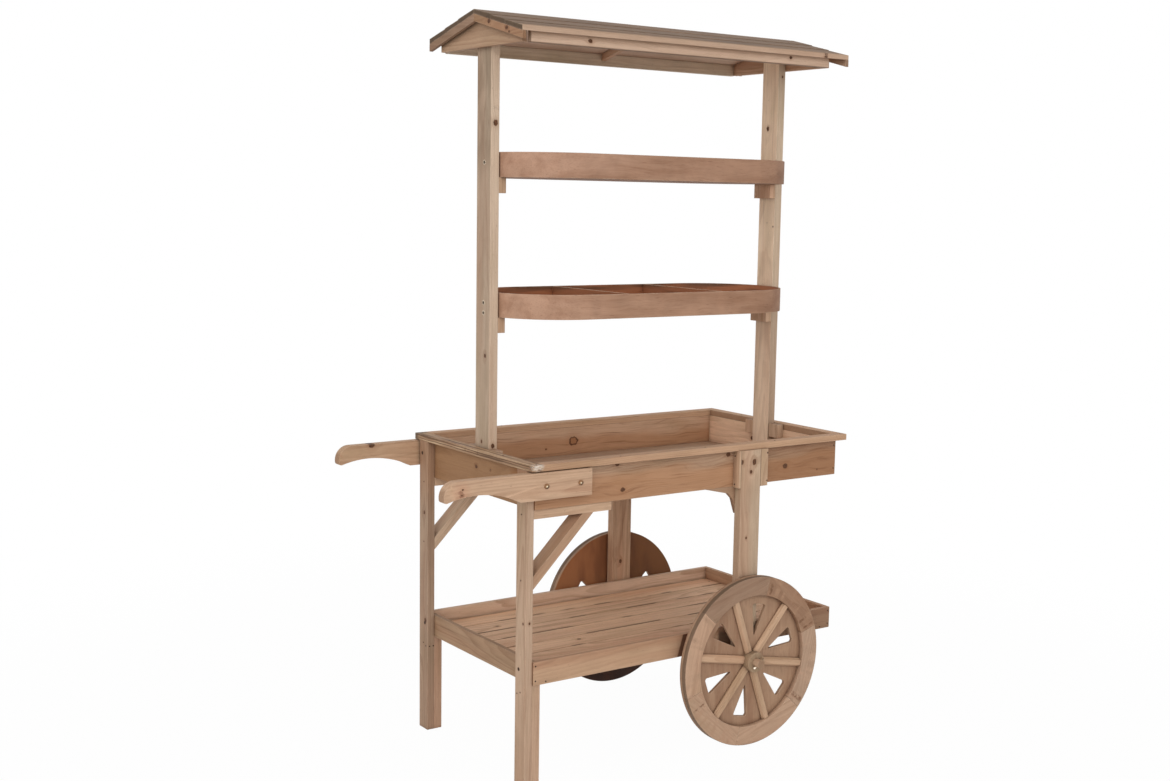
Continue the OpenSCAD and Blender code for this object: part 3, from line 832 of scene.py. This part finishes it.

# Node, direction of the grain, direction through the board, tint and contrast
# The tints over 1 of the tray's end boards, the shelf slats and the purlins are painted light for faces that
# lie in shade
GRAINS = (
    ("tray_front_board", X, Y, (0.85, 0.83, 0.8), 0.8), ("tray_back_board", X, Y, (1.04, 1.01, 0.98), 0.4),
    ("tray_end_boards", Y, X, (1.34, 1.35, 1.36), 0.5), ("tray_floor", X, Z, (0.76, 0.76, 0.76), 0.8),
    ("rim_strips", X, Z, (0.98, 0.92, 0.85), 0.7), ("left_post", Z, X, (0.8, 0.9, 0.97), 0.7),
    ("right_post", Z, X, (0.8, 0.87, 0.92), 0.5), ("post_cleats", Z, X, (0.95, 0.95, 0.94), 0.8),
    ("shelf_dividers", Y, X, (1.2, 1.18, 1.14), 0.5), ("shelf_blocks", Z, X, (0.85, 0.83, 0.8), 0.8),
    ("roof_front_boards", X, Z, (0.84, 0.84, 0.84), 0.5), ("roof_back_boards", X, Z, (0.84, 0.84, 0.84), 0.5),
    ("roof_rafters", Y, X, (0.76, 0.76, 0.76), 0.7), ("left_gable", Y, X, (0.76, 0.74, 0.70), 0.8),
    ("right_gable", Y, X, (1.1, 1.06, 1.04), 0.8), ("roof_purlins", X, Y, (1.1, 1.17, 1.27), 0.5),
    ("front_handle", X, Y, (1.04, 1.02, 1.0), 0.7), ("back_handle", X, Y, (0.92, 0.9, 0.86), 0.9),
    ("front_left_leg", Z, X, (0.94, 0.96, 0.98), 0.8), ("back_left_leg", Z, X, (0.62, 0.63, 0.64), 0.7),
    ("leg_blocks", Z, X, (0.92, 0.92, 0.94), 0.8), ("side_rails", X, Y, (1.08, 1.08, 1.06), 0.7),
    ("front_right_leg", Z, Y, (0.86, 0.92, 0.94), 0.8), ("back_right_leg", Z, Y, (0.85, 0.83, 0.8), 0.9),
    ("leg_cleats", Z, Y, (0.93, 0.93, 0.9), 0.7), ("shelf_front_board", X, Y, (0.86, 0.82, 0.77), 0.5),
    ("shelf_back_board", X, Y, (1.07, 1.11, 1.17), 0.9), ("shelf_end_boards", Y, X, (0.93, 0.88, 0.82), 0.9),
    ("shelf_slats", X, Z, (1.32, 1.3, 1.26), 0.9), ("shelf_battens", Y, Z, (0.85, 0.85, 0.82), 0.9),
    ("axle", Y, X, (0.78, 0.78, 0.76), 0.8), ("axle_washers", Z, Y, (0.8, 0.8, 0.78), 0.8),
    ("leg_braces", X + Z, Y, (0.93, 0.92, 0.9), 0.8), ("front_wheel_hub", Z, Y, (0.6, 0.63, 0.59), 0.8),
    ("back_wheel_hub", Z, Y, (0.6, 0.63, 0.59), 0.8), ("knee_plates", X, Y, (0.64, 0.59, 0.55), 0.8),
)

MARKS = {
    "rim_strips": worn_rim,
    "roof_front_boards": weathered,
    "roof_back_boards": weathered,
    "roof_rafters": rafter_tones,
    "roof_purlins": purlin_tones,
    "tray_front_board": all_of(heartwood_and_low_shade, in_front(shade("x", mid_x + 0.20, mid_x + 0.22, (0.79, 0.74, 0.69)))),
    "tray_back_board": heartwood_and_low_shade,
    "tray_end_boards": left_end_shade_and_stain,
    "shelf_end_boards": shade("x", mid_x + 0.1, mid_x - 0.1, (0.64, 0.64, 0.62)),
    "shelf_front_board": all_of(
        in_front(all_of(painted_wheel_shadow, shade("x", mid_x + 0.36, mid_x + 0.40, (0.60, 0.56, 0.54)))),
        shade("z", 0.282, 0.300, (0.86, 0.78, 0.75)),
    ),
    # painted shade: the front slats are darker than those behind them
    "shelf_slats": all_of(slat_gaps, shade("y", -0.06, -0.16, (0.82, 0.78, 0.76))),
    "shelf_dividers": shaded_divider_sides,
    "shelf_blocks": shade("x", mid_x + 0.2, mid_x + 0.3, (1.35, 1.4, 1.45)),
    "front_handle": bruise,
    "front_right_leg": all_of(
        in_front(painted_wheel_shadow),
        shade("z", 0.70, 0.62, (1.03, 1.06, 1.08)),
        shade("z", 0.66, 0.70, (1.1, 1.1, 1.11)),
    ),
    # painted shade at the top of the front left leg, under the handle, and painted light on its front face
    "front_left_leg": all_of(
        shade("z", 0.742, 0.750, (0.68, 0.54, 0.44)),
        shade("y", leg_front + 0.0006, leg_front + 0.0002, (1.06, 1.1, 1.13)),
    ),
    "back_left_leg": shade("z", 0.55, 0.68, (0.95, 0.84, 0.76)),
    "leg_braces": shade("y", 0.0, 0.1, (1.1, 1.2, 1.28)),
    "left_post": post_faces,
    # the right post is lighter upwards, and painted light makes its left face much lighter
    "right_post": all_of(
        shade("z", 1.0, 1.25, (1.2, 1.26, 1.28)),
        shade("x", post_left + 0.0008, post_left + 0.0002, (1.6, 1.65, 1.68)),
    ),
}


def dress_boards():
    """Fir on everything but the wheels and the bent plywood."""
    for i, (node, along, thin, tint, contrast) in enumerate(GRAINS):
        dress(node, wood(
            node, along, thin, i * SEED_STEP, tint, contrast,
            knotty=OWN_KNOTTY.get(node, KNOTTY), knots=KNOTS.get(node, ()), extra=MARKS.get(node),
        ))


def dress_wheels():
    """Fir rings and spokes on plywood discs; the hubs are among the boards."""
    for i, (side, turn) in enumerate(WHEEL_TURNS.items()):
        ring = f"{side}_wheel_ring"
        spokes = f"{side}_wheel_spokes"
        disc = f"{side}_wheel_disc"
        dress(ring, wood(
            ring, X, Y, RING_SEED + i, (0.79, 0.77, 0.77), 0.5, turn="ring", extra=wheel_marks(turn),
        ))
        # The spokes get stronger painted shade in their corners, and the discs a little more than the boards
        dress(spokes, wood(
            spokes, X, Y, SPOKE_SEED + i, (0.92, 0.9, 0.86), 0.6, turn="spoke", shade_and_dirt=0.4,
        ))
        dress(disc, ply(
            disc, "z", srgb(182, 144, 118), srgb(148, 106, 82), (0.81, 0.84, 0.81), red_inside_and_shade, shade_and_dirt=0.45,
        ))


def dress_oval_shelves():
    """Bent plywood bands and their floors."""
    for node, tint, marks in (
        ("upper_band", (0.78, 0.76, 0.74), shaded_band_inside),
        ("lower_band", (0.80, 0.78, 0.75), shaded_band_inside),
        ("oval_floors", (0.8, 0.75, 0.72), None),
    ):
        dress(node, ply(node, "x", srgb(188, 148, 122), srgb(152, 110, 84), tint, marks), bevel=THIN_BEVEL)


def dress_metal():
    """Bolts through the handles, and pins through the axle's ends."""
    dress("handle_bolts", metal("handle_bolts", srgb(160, 118, 80), extra=bolt_glint_and_shade), bevel=THIN_BEVEL)
    dress("axle_pins", metal("axle_pins", srgb(150, 122, 92), extra=pin_highlight), bevel=THIN_BEVEL)


dress_boards()
dress_wheels()
dress_oval_shelves()
dress_metal()

# ---------------------------------------------------------------- nails and screws

HEAD_SIDES = 20
LEFT, RIGHT, FRONT, BACK, ABOVE = -X, X, -Y, Y, Z
SIDES = ((-1, FRONT), (1, BACK))
# Nails and screws are placed in millimetres. Along and up, the same in front and behind:
BOARD_NAILS = (
    (-469, 262), (-469, 298), (469, 262), (469, 298), (469, 690), (469, 752),
    (-440, 257), (-10, 257), (440, 257),
)
# The cleats start at 121, so the two at 106 stand clear of the wood
CLEAT_NAILS = ((106, 684), (106, 756), (214, 684), (214, 756))
STICK_SCREWS = ((178, 300), (142, 272))
# Across and up:
LEG_NAILS = ((240, 232), (226, 226), (238, 661), (238, 503))
LEG_SCREWS = ((247, 735), (232, 287), (-232, 287))
# Up:
POST_SCREWS = (1476, 1139, 1114)
# On the rim: along its sides, across its ends, and how far those two lines lie from the middle
SIDE_NAILS = (-480, -240, 20, 250, 480)
END_NAILS = (-130, 130)
SIDE_LINE = 275
END_LINE = 481
# On the slats: along, the first slat across, and the step to the next
SLAT_NAILS = (-448, 448)
FIRST_SLAT = -218
NEXT_SLAT = 72.6
# On the back left leg's face to the front: along, and how far up
FOOT_NAILS = (-489, -478)
FOOT_NAIL_UP = 226


def linked(name, mesh):
    """A new object with a mesh, linked to the scene."""
    obj = bpy.data.objects.new(name, mesh)
    bpy.context.scene.collection.objects.link(obj)
    return obj


def add_head(bm, place, way, radius, socket):
    """One round head, in rings that climb out of the wood and step down into its hollow."""
    hollow = radius * socket
    turn = Vector(way).to_track_quat("Z", "Y").to_matrix().to_4x4()
    turn.translation = place
    rings = []
    for reach, height in (
        (radius, -0.0004), (radius, 0.0002), (radius * 0.72, 0.0004),
        (hollow, 0.0003), (hollow * 0.6, 0.0001),
    ):
        angles = [k * math.tau / HEAD_SIDES for k in range(HEAD_SIDES)]
        points = [Vector((reach * math.cos(a), reach * math.sin(a), height)) for a in angles]
        rings.append([bm.verts.new(turn @ point) for point in points])
    for i, (lower, upper) in enumerate(zip(rings, rings[1:])):
        for k in range(HEAD_SIDES):
            after = (k + 1) % HEAD_SIDES
            side = bm.faces.new((lower[k], lower[after], upper[after], upper[k]))
            side.material_index = int(i >= 2)
    bm.faces.new(rings[-1]).material_index = 1
    bm.faces.new(list(reversed(rings[0])))


def heads(name, spots, mats, radius, socket):
    """Round heads of one material with a hollow middle of another; each spot is a place and a direction."""
    bm = bmesh.new()
    for place, way in spots:
        add_head(bm, place, way, radius, socket)
    mesh = bpy.data.meshes.new(name)
    bm.to_mesh(mesh)
    bm.free()
    obj = linked(name, mesh)
    for mat in mats:
        mesh.materials.append(mat)
    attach(obj, "cart")


def post_screws():
    """Through the posts into the oval shelves."""
    spots = []
    for z in POST_SCREWS:
        spots.append((at(left_post_x, -3, z), LEFT))
        spots.append((at(right_post_end, 3, z), RIGHT))
    return spots


def leg_screws():
    """In the left legs and in the heavy sticks of the right ones."""
    spots = [(at(leg_x, y, z), LEFT) for y, z in LEG_SCREWS]
    for side, way in SIDES:
        spots += [(at(x, side * stick_out, z), way) for x, z in STICK_SCREWS]
    return spots


def long_side_nails():
    """On the boards, beside the right legs' heads and on the rim, in front and behind."""
    spots = []
    for side, way in SIDES:
        spots += [(at(x, side * board_out, z), way) for x, z in BOARD_NAILS]
        spots += [(at(x, side * stick_out, z), way) for x, z in CLEAT_NAILS]
        spots += [(at(x, side * SIDE_LINE, rim_top), ABOVE) for x in SIDE_NAILS]
        spots += [(at(side * END_LINE, y, rim_top), ABOVE) for y in END_NAILS]
    return spots


def shelf_and_leg_nails():
    """At both ends of each slat, and in the left legs."""
    spots = []
    for x in SLAT_NAILS:
        spots += [(at(x, FIRST_SLAT + k * NEXT_SLAT, slat_top), ABOVE) for k in range(SLATS)]
    for y, z in LEG_NAILS:
        spots += [(at(leg_x, y, z), LEFT), (at(leg_x, -y, z), LEFT)]
    spots += [(at(x, leg_in, FOOT_NAIL_UP), FRONT) for x in FOOT_NAILS]
    return spots


rust = metal("rust", srgb(66, 46, 32), rough=0.8)
# The near-white brass of the post screws' rims is partly a painted glint
glinting_brass = metal("glinting_brass", srgb(236, 222, 196), rough=0.6)
nails = long_side_nails() + shelf_and_leg_nails()
heads("nail_heads", nails, (rust, rust), radius=0.0021, socket=0.3)
heads("screw_heads", leg_screws(), (rust, rust), radius=0.0046, socket=0.35)
heads("brass_screws", post_screws(), (glinting_brass, rust), radius=0.0056, socket=0.5)

# ---------------------------------------------------------------- floor, light and camera

FLOOR_REACH = 40
# How white the ground looks: close to the cart, where a faint shadow stays, and far from it
NEAR_WHITE, FAR_WHITE = 0.975, 1.0
# The world's strength for the light that falls on the cart, and for what the camera sees
DIM_WORLD, WHITE_WORLD = 0.65, 1.0


def seen_rays(g):
    """1 for a ray that shows in the picture, also by way of a shiny or clear surface, and 0 for the rest."""
    path = g.node("ShaderNodeLightPath").outputs
    bent = g.math("MAXIMUM", path["Is Glossy Ray"], path["Is Transmission Ray"])
    return g.math("MAXIMUM", path["Is Camera Ray"], bent)


def floor_material():
    """Nearly white to the camera, and a plain pale ground for the light that bounces."""
    mat, g = new_material("floor")[:2]
    plain = g.node("ShaderNodeBsdfDiffuse", {"Color": (0.8, 0.79, 0.78, 1)}).outputs[0]
    white = g.node("ShaderNodeEmission", {"Color": (1, 1, 1, 1), "Strength": 1.0}).outputs[0]
    far = g.smooth(g.length(g.place()), 1.0, 3.0)
    whiteness = g.smooth(far, 0.0, 1.0, NEAR_WHITE, FAR_WHITE)
    shown = g.node("ShaderNodeMixShader", {0: whiteness, 1: plain, 2: white}).outputs[0]
    ground = g.node("ShaderNodeMixShader", {0: seen_rays(g), 1: plain, 2: shown}).outputs[0]
    g.put(mat.node_tree.nodes["Material Output"].inputs["Surface"], ground)
    return mat


def flat_square(name, reach):
    """A level square whose sides lie at the reach from its middle."""
    bm = bmesh.new()
    bmesh.ops.create_grid(bm, x_segments=1, y_segments=1, size=reach)
    mesh = bpy.data.meshes.new(name)
    bm.to_mesh(mesh)
    bm.free()
    return linked(name, mesh)


def white_world():
    """White behind everything, and dimmer as a light."""
    world = bpy.data.worlds.new("world")
    bpy.context.scene.world = world
    world.use_nodes = True
    g = Net(world.node_tree)
    sky = world.node_tree.nodes["Background"].inputs
    g.put(sky["Color"], (1, 1, 1, 1))
    g.put(sky["Strength"], g.smooth(seen_rays(g), 0.0, 1.0, DIM_WORLD, WHITE_WORLD))


def sun(name, direction, strength, spread):
    """Wide soft light from one direction; the spread is in degrees."""
    data = bpy.data.lights.new(name, "SUN")
    data.energy = strength
    data.angle = math.radians(spread)
    lamp = bpy.data.objects.new(name, data)
    lamp.rotation_euler = Vector(direction).to_track_quat("Z", "Y").to_euler()
    bpy.context.scene.collection.objects.link(lamp)


floor = flat_square("floor", FLOOR_REACH)
floor.location.z = -0.0005
floor.data.materials.append(floor_material())
white_world()
sun("key", (-0.3, -0.9, 0.3), strength=0.85, spread=60)
sun("fill", (-0.85, -0.45, 0.22), strength=0.95, spread=60)

# The camera looks along the azimuth and down by the pitch, and leans by the roll
AZIMUTH = math.radians(35.2)
PITCH = math.radians(7.4)
ROLL = math.radians(1.0)
CAMERA_PLACE = (mid_x - 2.3278, -3.1655, 1.3904)
FOCAL_LENGTH = 46.39
SENSOR_WIDTH = 36
SHIFT_X = -0.0171
SHIFT_Y = 0.0048


def add_camera():
    """The camera, in front of the cart and to its left."""
    level = math.cos(PITCH)
    forward = Vector((math.sin(AZIMUTH) * level, math.cos(AZIMUTH) * level, -math.sin(PITCH)))
    flat_right = Vector((math.cos(AZIMUTH), -math.sin(AZIMUTH), 0))
    flat_up = flat_right.cross(forward)
    right = math.cos(ROLL) * flat_right + math.sin(ROLL) * flat_up
    up = math.cos(ROLL) * flat_up - math.sin(ROLL) * flat_right
    camera = bpy.data.objects.new("camera", bpy.data.cameras.new("camera"))
    camera.matrix_world = Matrix((right, up, -forward)).transposed().to_4x4()
    camera.location = CAMERA_PLACE
    camera.data.sensor_width = SENSOR_WIDTH
    camera.data.lens = FOCAL_LENGTH
    camera.data.shift_x = SHIFT_X
    camera.data.shift_y = SHIFT_Y
    bpy.context.scene.collection.objects.link(camera)
    bpy.context.scene.camera = camera


add_camera()
bpy.context.scene.view_settings.view_transform = "Standard"
